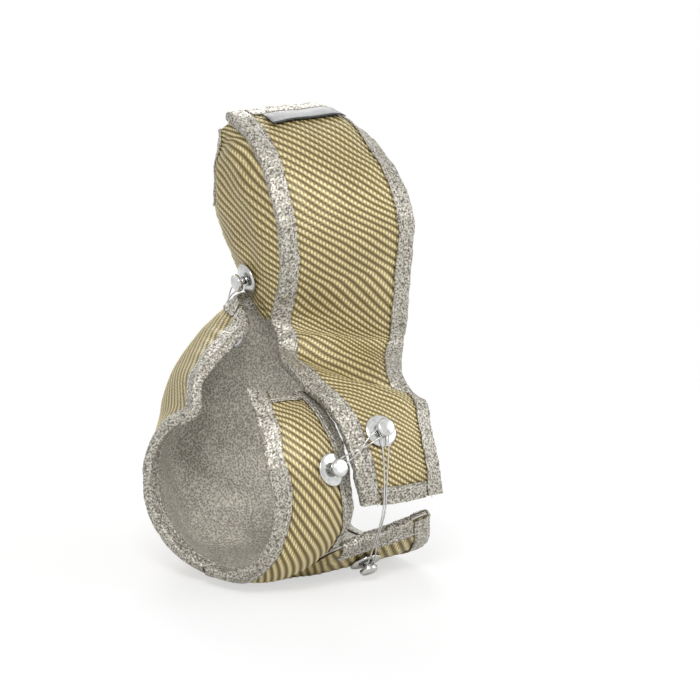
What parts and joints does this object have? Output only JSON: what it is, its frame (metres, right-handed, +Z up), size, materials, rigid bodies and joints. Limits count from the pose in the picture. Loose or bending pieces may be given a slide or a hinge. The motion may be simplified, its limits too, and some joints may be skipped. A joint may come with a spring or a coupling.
{
  "type": "turbo heat blanket",
  "caption": "Quilted woven heat blanket shaped to wrap a turbine housing, with an inlet hood, a front flap, mesh-bound edges and wire-laced anchors.",
  "frame": {"origin": "on the flat underside, below the axis of the turbine shaft, in line with the left side of the inlet hood", "axes": "+X along the turbine shaft from the exhaust outlet towards the bearing housing, +Y towards the exhaust inlet, +Z up"},
  "size_m": [0.1444, 0.1537, 0.2326],
  "materials": {
    "weave": "glossy gold-tan twill of mineral fibre",
    "core": "white needled silica fibre",
    "liner": "light grey cloth faced with knitted wire",
    "binding": "knitted stainless wire tape over white cloth",
    "steel": "bright pressed stainless steel and wire",
    "label": "black woven tab, bare"
  },
  "bodies": {
    "root": {"cover_face": "weave", "cover_core": "core", "cover_liner": "liner", "left_cheek_face": "weave", "left_cheek_core": "core", "left_cheek_liner": "liner", "right_cheek_face": "weave", "right_cheek_core": "core", "right_cheek_liner": "liner", "back_wall_face": "weave", "back_wall_core": "core", "back_wall_liner": "liner", "outlet_panel_face": "weave", "outlet_panel_core": "core", "outlet_panel_liner": "liner", "belly_panel_face": "weave", "belly_panel_core": "core", "belly_panel_liner": "liner", "cover_left_binding": "binding", "cover_right_binding": "binding", "cover_rear_binding": "binding", "flap_hem_binding": "binding", "left_cheek_binding": "binding", "right_cheek_binding": "binding", "back_wall_binding": "binding", "outlet_edge_front_binding": "binding", "outlet_panel_front_binding": "binding", "outlet_panel_top_binding": "binding", "outlet_edge_back_binding": "binding", "belly_shaft_side_binding": "binding", "belly_front_binding": "binding", "belly_lap_binding": "binding", "flap_anchor_washer": "steel", "flap_anchor_post": "steel", "flap_anchor_inner_washer": "steel", "outlet_anchor_washer": "steel", "outlet_anchor_post": "steel", "outlet_anchor_inner_washer": "steel", "belly_anchor_washer": "steel", "belly_anchor_post": "steel", "belly_anchor_inner_washer": "steel", "cheek_anchor_washer": "steel", "cheek_anchor_post": "steel", "cheek_anchor_inner_washer": "steel", "neck_anchor_washer": "steel", "neck_anchor_post": "steel", "neck_anchor_inner_washer": "steel", "flap_to_outlet_wire": "steel", "flap_to_belly_wire": "steel", "cheek_to_neck_wire": "steel", "label_tab": "label"}
  },
  "joints": []
}
